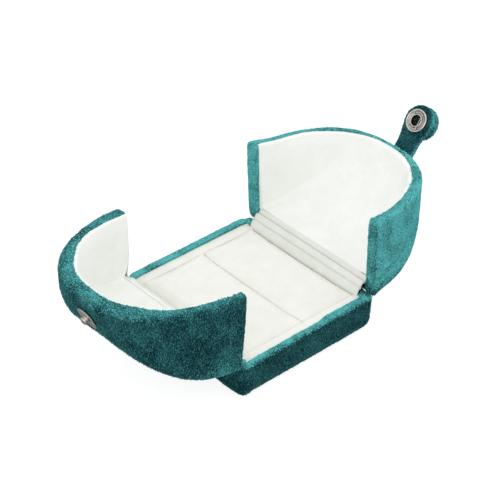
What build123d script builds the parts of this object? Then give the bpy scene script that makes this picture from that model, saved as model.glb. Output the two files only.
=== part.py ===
from build123d import *
import math
import os

# Velvet ring box with two domed doors that open outwards from a shallow base.
# Millimetres. X runs from the left door to the right door, Y along the hinges, Z up.
# The origin is the centre of the base's underside, and the doors stand open by 90 degrees.

# ---- outer form -------------------------------------------------------------------
box_length = 62.0          # along the hinges
box_width = 57.4           # of the base, from hinge side to hinge side
base_height = 14.0
plan_corner = 4.0          # vertical corners of the base
foot_round = 3.5           # round under the base
dome_height = 38.1         # top of the closed doors above the hinge axis

# The closed doors are a dome. Its outline across each direction is a superellipse.
arch_side_power = 2.55     # rim arch, seen along X: fullness of the sides
arch_top_power = 2.13      # rim arch: fullness of the top
back_side_power = 2.04     # outline seen along Y
back_top_power = 2.27
crease_radius = 2.4        # corner between a door's back and its cheeks, at the hinge
crease_growth = 6.2        # how late that corner opens out into the round top
dome_sections = 9
dome_last_angle = 84.0     # the last section, in degrees up the outline

# ---- walls ------------------------------------------------------------------------
cover_thickness = 1.0      # velvet on its backing
shell_thickness = 2.6      # moulded shells of the base and of the doors
lining_thickness = 1.2     # white flocked insert of a door
lining_recess = 0.5        # the insert stands this far below the velvet rim
lining_start = 0.4         # lower edge of the insert above the hinge axis
floor_thickness = 2.1      # of the base shell
smallest_corner = 0.8      # inside corner of a shell

# ---- clearances -------------------------------------------------------------------
parting_gap = 0.15         # each door stops this far from the middle plane
rim_gap = 0.2              # closed cheeks above the base rim
fit_gap = 0.1              # pieces laid into the base
slit_width = 0.4           # between the two pads
running_gap = 0.05         # pin in its knuckles
knuckle_gap = 0.3          # between two knuckles

# ---- inside the base --------------------------------------------------------------
lip_width = 1.8            # white lip along the near and far sides
tray_side = 0.4            # tray wall along a hinge side
lip_drop = 0.4             # lip below the base rim
board_thickness = 1.2
pad_drop = 1.1             # pad edges below the base rim
pad_crown = 0.5            # swell of a pad's middle
pad_draw = 0.3             # how far a pad's sides pull in between its corners
slit_place = 2.3           # the slit lies this far to the right of the middle
turn_under = 6.0           # velvet turned under the base

# ---- hinges -----------------------------------------------------------------------
hinge_inset = 1.0          # axis inside the outer face
hinge_lift = 0.8           # axis above the base rim
hinge_length = 44.0
hinge_window = 26.6        # half length of the gap in the walls for hinge and strips
knuckle_count = 5
knuckle_radius = 0.8
pin_radius = 0.35
leaf_thickness = 0.5
leaf_offset = 0.6          # leaf plane beside the axis
leaf_start = 1.0           # leaf edge beyond the axis
leaf_reach = 7.0           # leaf end beyond the axis
side_relief = 0.7          # base cover below the rim along the hinge sides
window_relief = 1.6        # base shell below the rim, under the strip
cheek_lean = 1.5           # the cheeks' ends lean away from the base by this much
door_edge = 1.0            # door cover starts this far beyond the axis, in the window
door_shell_edge = 2.3
strip_thickness = 0.5
strip_foot = 3.0           # inner strip edge, inside the axis
strip_foot_drop = 2.05     # and below it
strip_top = 1.7            # upper edge of the base strip, inside the axis
strip_rise = 0.5           # and above it
door_strip_start = 0.9     # door strip: from here beyond the axis
door_strip_low = 1.6       # and above it
door_strip_end = 1.8
door_strip_high = 2.9

# ---- strap and snap ---------------------------------------------------------------
strap_place = -1.5         # strap and stud beside the middle, along Y
strap_anchor = 15.0        # where it leaves the right door, from the middle plane
strap_slope = 37.0         # its rise there, in degrees, when the door is closed
strap_width = 9.3
strap_thickness = 1.6
strap_tail = 3.0           # sunk end beyond the anchor
strap_fold = 15.5          # anchor to fold
strap_reach = 25.4         # anchor to the middle of the snap
strap_head_radius = 5.8
fold_gap = 0.3
socket_radius = 4.15
socket_height = 1.7
socket_hole_radius = 2.0
socket_floor = 0.25
wire_radius = 0.12
wire_place = 1.75          # spring wires beside the middle of the hole
wire_half_length = 2.8
cap_radius = 5.2
cap_height = 1.6
cap_post_radius = 1.2
snap_gap = 0.15            # closed snap, between its two faces
stud_radius = 4.2
stud_flange = 0.6
stud_proud = 0.35          # flange above the velvet
stud_neck_radius = 1.25
stud_neck_height = 0.35
stud_ball_radius = 1.55
stud_height = 1.35
stud_post_radius = 1.0
washer_radius = 2.8
washer_thickness = 0.5

half_length = box_length / 2
half_width = box_width / 2
hinge_x = half_width - hinge_inset
hinge_z = base_height + hinge_lift
wall = cover_thickness + shell_thickness
middle_z = hinge_z + hinge_x               # the closed middle plane, with the doors open
door_rim_z = middle_z - parting_gap
door_start = rim_gap - hinge_lift          # lower edge of the cheeks, beyond the axis


# ---- the dome ---------------------------------------------------------------------
def outline(height, reach, top, side_power, top_power):
    """Half width of an arch with that reach and top, at a height above the hinge axis."""
    share = min(max(height, 0.0) / top, 1.0)
    return reach * (1 - share**top_power) ** (1 / side_power)


def dome(inset, cut_z):
    """The right half of the dome, lying open, pulled in by inset and cut off at cut_z."""
    top = dome_height - inset
    with BuildPart() as form:
        for step in range(dome_sections):
            angle = math.radians(dome_last_angle * step / (dome_sections - 1))
            height = top * math.sin(angle) ** (2 / arch_top_power)
            along = outline(height, half_length - inset, top, arch_side_power, arch_top_power)
            across = outline(height, half_width - inset, top, back_side_power, back_top_power)
            tight = max(crease_radius - inset, smallest_corner)
            shorter = 0.98 * min(along, across)
            corner = tight + (shorter - tight) * (height / top) ** crease_growth
            place = (hinge_x + (height if step else door_start), 0, middle_z)
            with BuildSketch(Plane(origin=place, x_dir=(0, 1, 0), z_dir=(1, 0, 0))):
                RectangleRounded(2 * along, 2 * across, min(corner, shorter))
        loft()
        split(bisect_by=Plane.XY.offset(cut_z), keep=Keep.BOTTOM)
    return form.part


def block(x_low, x_high, y_half, z_low, z_high):
    """A box between those planes, as long as 2 * y_half."""
    with BuildPart() as form:
        with Locations(((x_low + x_high) / 2, 0, (z_low + z_high) / 2)):
            Box(x_high - x_low, 2 * y_half, z_high - z_low)
    return form.part


def crown(offset):
    """Height of the closed dome above the hinge axis, at an offset from the middle plane."""
    share = min(abs(offset) / half_width, 1.0)
    return dome_height * (1 - share**back_side_power) ** (1 / back_top_power)


def save(piece, name):
    """Labels a finished piece and writes its file."""
    piece.label = name
    export_step(piece, f"parts/{name}.step")


os.makedirs("parts", exist_ok=True)

# ---- base -------------------------------------------------------------------------
with BuildPart() as base_hinge_gap:
    for side in (-1, 1):
        inner = side * (half_width - wall - 1)
        outer = side * (half_width + 1)
        add(block(min(inner, outer), max(inner, outer), hinge_window,
                  base_height - window_relief, base_height + 1))

with BuildPart() as base_cover:
    with BuildSketch():
        RectangleRounded(box_width, box_length, plan_corner)
    extrude(amount=base_height)
    fillet(base_cover.edges().group_by(Axis.Z)[0], foot_round)
    with BuildPart(mode=Mode.PRIVATE) as cover_hollow:
        with BuildSketch(Plane.XY.offset(cover_thickness)):
            RectangleRounded(box_width - 2 * cover_thickness, box_length - 2 * cover_thickness,
                             plan_corner - cover_thickness)
        extrude(amount=base_height - 2 * cover_thickness)
        fillet(cover_hollow.edges().group_by(Axis.Z)[0], foot_round - cover_thickness)
    add(cover_hollow.part, mode=Mode.SUBTRACT)
    with BuildSketch(Plane.XY.offset(base_height / 2)):
        RectangleRounded(box_width - 2 * wall, box_length - 2 * wall, smallest_corner)
    extrude(amount=base_height, mode=Mode.SUBTRACT)
    with BuildSketch():
        Rectangle(box_width - 2 * (foot_round + turn_under),
                  box_length - 2 * (foot_round + turn_under))
    extrude(amount=2 * cover_thickness, mode=Mode.SUBTRACT)
    for side in (-1, 1):
        inner = side * (hinge_x - 2 * hinge_inset)
        outer = side * (half_width + 1)
        add(block(min(inner, outer), max(inner, outer), half_length + 1,
                  base_height - side_relief, base_height + 1), mode=Mode.SUBTRACT)
        inner = side * (half_width - wall - 1)
        outer = side * (half_width - cover_thickness)
        add(block(min(inner, outer), max(inner, outer), hinge_window,
                  base_height - window_relief, base_height + 1), mode=Mode.SUBTRACT)
save(base_cover.part, "base_cover")

with BuildPart() as base_bottom_panel:
    with BuildSketch():
        Rectangle(box_width - 2 * (foot_round + turn_under + fit_gap),
                  box_length - 2 * (foot_round + turn_under + fit_gap))
    extrude(amount=cover_thickness)
save(base_bottom_panel.part, "base_bottom_panel")


def hinge_leaf(is_door):
    """The right hinge's leaf with its knuckles: the base leaf hangs down, the door leaf lies outwards."""
    pitch = (hinge_length + knuckle_gap) / knuckle_count
    near_side = -(leaf_offset + leaf_thickness)
    across = leaf_offset + leaf_thickness / 2
    middle = (leaf_start + leaf_reach) / 2
    with BuildPart() as leaf:
        spot = (middle, 0, across) if is_door else (-across, 0, -middle)
        size = (leaf_reach - leaf_start, hinge_length, leaf_thickness)
        if not is_door:
            size = (size[2], size[1], size[0])
        with Locations((hinge_x + spot[0], 0, hinge_z + spot[2])):
            Box(*size)
        for number in range(knuckle_count):
            if (number % 2 == 1) != is_door:
                continue
            near = -hinge_length / 2 + number * pitch
            with BuildSketch(Plane(origin=(hinge_x, near, hinge_z), x_dir=(1, 0, 0), z_dir=(0, 1, 0))):
                Circle(knuckle_radius)
                # local y points down, so the leaf side of a base knuckle is at positive y
                if is_door:
                    with Locations(((leaf_start + 0.2) / 2, -across)):
                        Rectangle(leaf_start + 0.2, leaf_thickness)
                else:
                    with Locations((near_side + leaf_thickness / 2, (leaf_start + 0.2) / 2)):
                        Rectangle(leaf_thickness, leaf_start + 0.2)
            extrude(amount=pitch - knuckle_gap)
        with BuildSketch(Plane(origin=(hinge_x, -half_length, hinge_z), x_dir=(1, 0, 0), z_dir=(0, 1, 0))):
            Circle(pin_radius + running_gap)
        extrude(amount=box_length, mode=Mode.SUBTRACT)
    return leaf.part


base_leaf = hinge_leaf(False)
door_leaf = hinge_leaf(True)

with BuildPart() as base_shell:
    with BuildSketch(Plane.XY.offset(cover_thickness)):
        RectangleRounded(box_width - 2 * cover_thickness, box_length - 2 * cover_thickness,
                         plan_corner - cover_thickness)
    extrude(amount=base_height - 2 * cover_thickness)
    fillet(base_shell.edges().group_by(Axis.Z)[0], foot_round - cover_thickness)
    with BuildSketch(Plane.XY.offset(cover_thickness + floor_thickness)):
        RectangleRounded(box_width - 2 * wall, box_length - 2 * wall, smallest_corner)
    extrude(amount=base_height, mode=Mode.SUBTRACT)
    add(base_hinge_gap.part, mode=Mode.SUBTRACT)
    add(base_leaf, mode=Mode.SUBTRACT)
    mirror(base_leaf, about=Plane.YZ, mode=Mode.SUBTRACT)
save(base_shell.part, "base_shell")

# ---- tray, board and pads in the base ----------------------------------------------
floor_z = cover_thickness + floor_thickness
hollow_half_width = half_width - wall
hollow_half_length = half_length - wall
pad_half_width = hollow_half_width - tray_side - fit_gap
pad_half_length = hollow_half_length - lip_width - fit_gap

with BuildPart() as lining_tray:
    with BuildSketch(Plane.XY.offset(floor_z)):
        RectangleRounded(2 * (hollow_half_width - fit_gap / 2), 2 * (hollow_half_length - fit_gap / 2),
                         smallest_corner)
        Rectangle(2 * (hollow_half_width - tray_side), 2 * (hollow_half_length - lip_width),
                  mode=Mode.SUBTRACT)
    extrude(amount=base_height - lip_drop - floor_z)
    add(block(-half_width, half_width, hinge_window - fit_gap, base_height - strip_foot_drop - fit_gap,
              base_height), mode=Mode.SUBTRACT)
save(lining_tray.part, "lining_tray")

with BuildPart() as pad_board:
    with BuildSketch(Plane.XY.offset(floor_z)):
        Rectangle(2 * pad_half_width, 2 * pad_half_length)
    extrude(amount=board_thickness)
save(pad_board.part, "pad_board")


def ring_pad(x_low, x_high):
    """A foam pad in its white fabric: crowned along both ways, its sides drawn in at the middle."""
    low = floor_z + board_thickness
    edge = base_height - pad_drop
    middle = (x_low + x_high) / 2
    with BuildPart() as pad:
        for place, swell, draw in ((-1, 0.0, 0.0), (0, pad_crown, pad_draw), (1, 0.0, 0.0)):
            with BuildSketch(Plane.XZ.offset(-place * pad_half_length)):
                with BuildLine():
                    Polyline((x_low + draw, edge), (x_low + draw, low), (x_high - draw, low),
                             (x_high - draw, edge))
                    ThreePointArc((x_high - draw, edge), (middle, edge + pad_crown / 2 + swell),
                                  (x_low + draw, edge))
                make_face()
        loft()
    return pad.part


save(ring_pad(-pad_half_width, slit_place - slit_width / 2), "ring_pad_left")
save(ring_pad(slit_place + slit_width / 2, pad_half_width), "ring_pad_right")


# ---- hinges -----------------------------------------------------------------------
def slanted_strip(start, end):
    """A strip of white card along the hinge, from one (across, up) corner to another, seen along Y."""
    run = math.hypot(end[0] - start[0], end[1] - start[1])
    out = (strip_thickness * (end[1] - start[1]) / run, -strip_thickness * (end[0] - start[0]) / run)
    corners = [start, end, (end[0] + out[0], end[1] + out[1]), (start[0] + out[0], start[1] + out[1])]
    with BuildPart() as strip:
        with BuildSketch(Plane.XZ.offset(-(hinge_window - fit_gap))):
            with BuildLine():
                Polyline([(hinge_x + x, hinge_z + z) for x, z in corners], close=True)
            make_face()
        extrude(amount=2 * (hinge_window - fit_gap))
    return strip.part


with BuildPart() as hinge_pin:
    with BuildSketch(Plane(origin=(hinge_x, -hinge_length / 2, hinge_z), x_dir=(1, 0, 0), z_dir=(0, 1, 0))):
        Circle(pin_radius)
    extrude(amount=hinge_length)

base_strip = slanted_strip((-strip_foot, -strip_foot_drop), (-strip_top, strip_rise))
door_strip = slanted_strip((door_strip_start, door_strip_low), (door_strip_end, door_strip_high))

# ---- doors, both made as the right one ---------------------------------------------
def beside_cheeks(offset):
    """Everything on the hinge's side of the slanting ends of the cheeks, moved by offset."""
    start = hinge_x + door_start + offset
    foot_z = middle_z - half_width - 1
    with BuildPart() as wedge:
        with BuildSketch(Plane.XZ.offset(-half_length - 1)):
            with BuildLine():
                Polyline([(0, foot_z), (start + cheek_lean, foot_z), (start, middle_z),
                          (0, middle_z)], close=True)
            make_face()
        extrude(amount=2 * half_length + 2)
        add(block(0, 2 * hinge_x, hinge_window, 0, middle_z + 1), mode=Mode.SUBTRACT)
    return wedge.part


with BuildPart() as shell_form:
    add(dome(cover_thickness, door_rim_z - cover_thickness))
    add(beside_cheeks(cover_thickness), mode=Mode.SUBTRACT)

with BuildPart() as door_cover:
    add(dome(0, door_rim_z))
    add(beside_cheeks(0), mode=Mode.SUBTRACT)
    add(shell_form.part, mode=Mode.SUBTRACT)
    add(dome(wall, middle_z), mode=Mode.SUBTRACT)
    add(block(0, hinge_x + door_edge, hinge_window, 0, hinge_z + wall + lining_thickness),
        mode=Mode.SUBTRACT)

with BuildPart() as door_shell:
    add(shell_form.part)
    add(dome(wall, middle_z), mode=Mode.SUBTRACT)
    add(block(0, hinge_x + door_shell_edge, hinge_window, 0, hinge_z + wall + lining_thickness),
        mode=Mode.SUBTRACT)
    add(door_leaf, mode=Mode.SUBTRACT)

with BuildPart() as door_lining:
    add(dome(wall, door_rim_z - lining_recess))
    add(dome(wall + lining_thickness, middle_z), mode=Mode.SUBTRACT)
    add(block(0, hinge_x + lining_start, half_length, 0, middle_z), mode=Mode.SUBTRACT)
    add(block(0, hinge_x + door_shell_edge, hinge_window, 0, hinge_z + wall + lining_thickness),
        mode=Mode.SUBTRACT)

# ---- strap: placed on the right door ------------------------------------------------
slope = math.radians(strap_slope)
anchor = (hinge_x + crown(strap_anchor), strap_place, middle_z - strap_anchor)
outwards = (math.cos(slope), 0, -math.sin(slope))
strap_plane = Plane(origin=anchor, x_dir=(0, 1, 0), z_dir=outwards)
fold_line = strap_plane.from_local_coords((0, strap_fold, -strap_thickness / 2))
snap_face = Plane(origin=strap_plane.from_local_coords((0, strap_reach, -strap_thickness / 2)),
                  x_dir=(0, 1, 0), z_dir=(-outwards[0], 0, -outwards[2]))
snap_back = Plane(origin=strap_plane.from_local_coords((0, strap_reach, strap_thickness / 2)),
                  x_dir=(0, 1, 0), z_dir=outwards)

with BuildPart() as strap_root:
    with BuildSketch(strap_plane.offset(-strap_thickness / 2)):
        with Locations((0, (strap_fold - fold_gap / 2 - strap_tail) / 2)):
            Rectangle(strap_width, strap_fold - fold_gap / 2 + strap_tail)
    extrude(amount=strap_thickness)
save(strap_root.part, "strap_root")

with BuildPart() as strap:
    with BuildSketch(strap_plane.offset(-strap_thickness / 2)):
        with BuildLine():
            near = strap_fold + fold_gap / 2
            Polyline((-strap_width / 2, near), (strap_width / 2, near), (strap_head_radius, strap_reach),
                     (-strap_head_radius, strap_reach), close=True)
        make_face()
        with Locations((0, strap_reach)):
            Circle(strap_head_radius)
    extrude(amount=strap_thickness)
    with BuildSketch(snap_back):
        Circle(cap_post_radius)
    extrude(amount=-strap_thickness, mode=Mode.SUBTRACT)
save(strap.part, "strap")

with BuildPart() as snap_spring:
    for side in (-1, 1):
        start = snap_face.from_local_coords((side * wire_place, -wire_half_length, socket_height / 2))
        with BuildSketch(Plane(origin=start, x_dir=(0, 1, 0), z_dir=tuple(snap_face.y_dir))):
            Circle(wire_radius)
        extrude(amount=2 * wire_half_length)
save(snap_spring.part, "snap_spring")

with BuildPart() as snap_socket:
    with BuildSketch(snap_face):
        Circle(socket_radius)
    extrude(amount=socket_height)
    fillet(snap_socket.edges().filter_by(GeomType.CIRCLE), socket_height / 4)
    with BuildSketch(snap_face.offset(socket_floor)):
        Circle(socket_hole_radius)
    extrude(amount=socket_height, mode=Mode.SUBTRACT)
    add(snap_spring.part, mode=Mode.SUBTRACT)
save(snap_socket.part, "snap_socket")

with BuildPart() as snap_cap:
    with BuildSketch(snap_back):
        Circle(cap_radius)
    extrude(amount=cap_height)
    fillet(snap_cap.edges().filter_by(GeomType.CIRCLE).sort_by(Axis((0, 0, 0), outwards))[-1],
           cap_height * 0.7)
    with BuildSketch(snap_back):
        Circle(cap_post_radius)
    extrude(amount=-strap_thickness)
save(snap_cap.part, "snap_cap")


# ---- stud: placed where the closed snap meets the left door -------------------------
def closed_seat(fold_degrees):
    """Where the folded snap's stud stands: offset left of the middle plane, height, and tilt."""
    tilt = math.radians(fold_degrees) - slope
    fold = (strap_anchor - strap_fold * math.cos(slope) - strap_thickness / 2 * math.sin(slope),
            crown(strap_anchor) + strap_fold * math.sin(slope) - strap_thickness / 2 * math.cos(slope))
    run = strap_reach - strap_fold
    drop = socket_height + snap_gap + stud_proud
    x = fold[0] - run * math.cos(tilt) + drop * math.sin(tilt)
    height = fold[1] - run * math.sin(tilt) - drop * math.cos(tilt)
    return -x, height, tilt


fold_angle = next(step / 10 for step in range(900)
                  if closed_seat(step / 10)[1] <= crown(closed_seat(step / 10)[0]))
stud_offset, stud_rise, stud_tilt = closed_seat(fold_angle)
stud_axis = (-math.cos(stud_tilt), 0, -math.sin(stud_tilt))
stud_seat = Plane(origin=(-hinge_x - stud_rise, strap_place, middle_z - stud_offset),
                  x_dir=(0, 1, 0), z_dir=stud_axis)
washer_seat = stud_seat.offset(-wall)

with BuildPart() as snap_stud:
    with BuildSketch(stud_seat.offset(stud_proud - stud_flange)):
        Circle(stud_radius)
    extrude(amount=stud_flange)
    with BuildSketch(stud_seat.offset(stud_proud)):
        Circle(stud_neck_radius)
    extrude(amount=stud_neck_height)
    with BuildSketch(stud_seat.offset(stud_proud + stud_neck_height)):
        Circle(stud_ball_radius)
    extrude(amount=stud_height - stud_neck_height)
    ball_edges = snap_stud.edges().filter_by(GeomType.CIRCLE)
    fillet(ball_edges.sort_by(Axis((0, 0, 0), stud_axis))[-1], (stud_height - stud_neck_height) * 0.7)
    with BuildSketch(stud_seat.offset(stud_proud - stud_flange)):
        Circle(stud_post_radius)
    extrude(amount=-(wall + stud_proud - stud_flange))
save(snap_stud.part, "snap_stud")

with BuildPart() as stud_washer:
    with BuildSketch(washer_seat):
        Circle(washer_radius)
        Circle(stud_post_radius, mode=Mode.SUBTRACT)
    extrude(amount=washer_thickness)
save(stud_washer.part, "stud_washer")

# ---- the pieces of each side ---------------------------------------------------------
for side, side_name in ((1, "right"), (-1, "left")):
    plain = {
        "hinge_base_leaf": base_leaf,
        "hinge_door_leaf": door_leaf,
        "hinge_pin": hinge_pin.part,
        "hinge_strip_base": base_strip,
        "hinge_strip_door": door_strip,
        "door_cover": door_cover.part,
        "door_shell": door_shell.part,
        "door_lining": door_lining.part,
    }
    cutters = [strap_root.part] if side > 0 else [snap_stud.part, stud_washer.part]
    for piece_name, piece in plain.items():
        with BuildPart() as placed:
            if side > 0:
                add(piece)
            else:
                mirror(piece, about=Plane.YZ)
            if piece_name.startswith("door_"):
                for cutter in cutters:
                    add(cutter, mode=Mode.SUBTRACT)
        save(placed.part, f"{piece_name}_{side_name}")

# ---- places of the joints, for the drawing --------------------------------------------
print(f"hinge axis x {hinge_x:.3f} z {hinge_z:.3f}")
print(f"strap fold at {tuple(fold_line)}, closes by {fold_angle:.1f} degrees")
print(f"stud {stud_offset:.2f} from the middle plane, {stud_rise:.2f} high, "
      f"crown there {crown(stud_offset):.2f}, tilt {math.degrees(stud_tilt):.1f}")
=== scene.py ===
import math

import bmesh
import bpy
import numpy as np
from mathutils import Matrix, Vector, noise


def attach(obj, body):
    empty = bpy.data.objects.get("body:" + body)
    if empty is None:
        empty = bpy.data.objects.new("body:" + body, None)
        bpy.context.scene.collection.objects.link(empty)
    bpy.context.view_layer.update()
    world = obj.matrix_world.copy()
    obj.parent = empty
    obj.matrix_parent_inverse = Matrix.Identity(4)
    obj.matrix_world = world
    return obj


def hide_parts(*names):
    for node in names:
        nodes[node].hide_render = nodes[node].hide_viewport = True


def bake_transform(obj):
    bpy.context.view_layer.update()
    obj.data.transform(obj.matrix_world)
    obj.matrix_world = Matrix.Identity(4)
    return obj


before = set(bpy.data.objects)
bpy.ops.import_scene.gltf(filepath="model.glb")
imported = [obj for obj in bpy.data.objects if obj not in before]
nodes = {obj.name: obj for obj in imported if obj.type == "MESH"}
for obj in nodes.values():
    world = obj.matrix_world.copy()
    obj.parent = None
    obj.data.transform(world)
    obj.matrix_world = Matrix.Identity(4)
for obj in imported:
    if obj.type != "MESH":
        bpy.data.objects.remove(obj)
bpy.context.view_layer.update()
mm = 0.001                      # the sizes below are millimetres, the meshes metres

# ---- camera -------------------------------------------------------------------------
# Stands to the left of the box and in front of it, looking down by 36 degrees. Its place
# and lens come from the corners and rim curves of the box in the photograph.
view_turn, view_rise = math.radians(-41.2032), math.radians(35.8815)
view_back = Vector((math.sin(view_turn) * math.cos(view_rise),
                    -math.cos(view_turn) * math.cos(view_rise), math.sin(view_rise)))
view_right = Vector((math.cos(view_turn), math.sin(view_turn), 0))
view_up = view_back.cross(view_right)
lens = bpy.data.cameras.new("camera")
lens.sensor_width, lens.lens = 36, 123.466
lens.clip_start, lens.clip_end = 0.01, 20
camera = bpy.data.objects.new("camera", lens)
bpy.context.scene.collection.objects.link(camera)
camera.matrix_world = (
    Matrix.Translation((view_back * 566.5 + view_right * 1.0083 + view_up * 12.0938
                        + Vector((0, 0, 14))) * mm)
    @ Matrix((view_right, view_up, view_back)).transposed().to_4x4())
bpy.context.scene.camera = camera

# ---- table, room and lamps ------------------------------------------------------------
# A white table top in a white room, with soft lamps in front at the left, at the right and
# above. The camera sees the table's bare white, and the box keeps its soft shadow.


def linear(code):
    """The linear colour of an sRGB hex code."""
    parts = [int(code[k:k + 2], 16) / 255 for k in (1, 3, 5)]
    return [c / 12.92 if c <= 0.04045 else ((c + 0.055) / 1.055) ** 2.4 for c in parts] + [1]


def add(tree, kind, settings=None, **inputs):
    """Adds a node, a shader node if kind doesn't say. Inputs are values, or the nodes or
    outputs that they link to; a name's _ is a space."""
    node = tree.nodes.new(kind if "Node" in kind else "ShaderNode" + kind)
    for key, value in (settings or {}).items():
        setattr(node, key, value)
    for key, value in inputs.items():
        place = int(key[1:]) if key[0] == "i" and key[1:].isdigit() else key.replace("_", " ")
        if isinstance(value, bpy.types.Node):
            value = value.outputs[0]
        if isinstance(value, bpy.types.NodeSocket):
            tree.links.new(value, node.inputs[place])
        else:
            node.inputs[place].default_value = value
    return node


def empty_tree(holder):
    """The node tree of a new material or of the world."""
    holder.use_nodes = True
    holder.node_tree.nodes.clear()
    return holder.node_tree


def seen_directly(tree):
    """1 where the camera looks at the surface, through glass too."""
    rays = add(tree, "LightPath").outputs
    return add(tree, "Math", {"operation": "MAXIMUM"},
               i0=rays["Is Camera Ray"], i1=rays["Is Transmission Ray"])


room = bpy.data.worlds.new("room")
bpy.context.scene.world = room
tree = empty_tree(room)
level = add(tree, "MapRange", Value=seen_directly(tree), To_Min=0.95, To_Max=1.0)
walls = add(tree, "Background", Color=linear("#FFFFFF"), Strength=level)
add(tree, "OutputWorld", Surface=walls)

table_paint = bpy.data.materials.new("white_table_lacquer")
tree = empty_tree(table_paint)
glow = add(tree, "Math", {"operation": "MULTIPLY"}, i0=seen_directly(tree), i1=0.84)
bare = add(tree, "Emission", Color=linear("#FFFFFF"), Strength=glow)
lit = add(tree, "BsdfDiffuse", Color=linear("#9FA1A1"))
add(tree, "OutputMaterial", Surface=add(tree, "AddShader", i0=bare, i1=lit))

sheet = bmesh.new()
bmesh.ops.create_grid(sheet, x_segments=1, y_segments=1, size=4)
bmesh.ops.translate(sheet, verts=sheet.verts, vec=(0, 0, -0.06 * mm))
table_mesh = bpy.data.meshes.new("table")
sheet.to_mesh(table_mesh)
sheet.free()
table_mesh.materials.append(table_paint)
table = bpy.data.objects.new("table", table_mesh)
bpy.context.scene.collection.objects.link(table)

for name, place, size, watts in (("lamp_above", (0.10, 0.10, 0.80), 0.70, 0.2),
                                 ("lamp_front", (-0.60, -0.28, 0.42), 0.60, 1.0),
                                 ("lamp_right", (0.75, -0.20, 0.42), 0.45, 0.7)):
    glass = bpy.data.lights.new(name, "AREA")
    glass.size, glass.energy = size, watts
    lamp = bpy.data.objects.new(name, glass)
    bpy.context.scene.collection.objects.link(lamp)
    lamp.location = place
    turned_back = Vector(place) - Vector((0, 0, 0.02))
    lamp.rotation_euler = turned_back.to_track_quat("Z", "Y").to_euler()

bpy.context.scene.view_settings.view_transform = "Standard"

# ---- base: moulded shell --------------------------------------------------------------
# An injection-moulded ABS tray that carries everything. It is glued under its velvet and
# shows only where the hinges sink into it; the shells of the doors are the same plastic.


def new_surface(name):
    """A new material, its empty node tree and the place on the piece that it shades."""
    material = bpy.data.materials.new(name)
    tree = empty_tree(material)
    return material, tree, add(tree, "TexCoord").outputs["Object"]


def moulded_plastic(name, code, grain):
    """Moulded ABS: a fine spark-eroded texture that breaks up the gloss."""
    material, tree, spot = new_surface(name)
    pits = add(tree, "TexNoise", Vector=spot, Scale=1 / (grain * mm), Detail=3.0)
    relief = add(tree, "Bump", Height=pits, Strength=0.25, Distance=0.03 * mm)
    gloss = add(tree, "MapRange", Value=pits, To_Min=0.45, To_Max=0.65)
    skin = add(tree, "BsdfPrincipled", Base_Color=linear(code), IOR=1.54, Roughness=gloss,
               Normal=relief)
    add(tree, "OutputMaterial", Surface=skin)
    return material


def paint(material, *names):
    """Gives CAD nodes their material."""
    for name in names:
        mesh = nodes[name].data
        mesh.materials.clear()
        mesh.materials.append(material)


abs_plastic = moulded_plastic("dark_moulded_abs", "#1E3435", 0.4)
paint(abs_plastic, "base_shell", "door_shell_left", "door_shell_right")

# ---- base: velvet cover ---------------------------------------------------------------
# Teal short-pile velvet on a woven backing, glued round the shell and turned in over the
# rim and under the foot. Along the hinges it lies lower and stops beside the leaves.


def mark(tree, name):
    """The value of a number stored on the mesh."""
    return add(tree, "Attribute", {"attribute_name": name}).outputs["Fac"]


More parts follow.
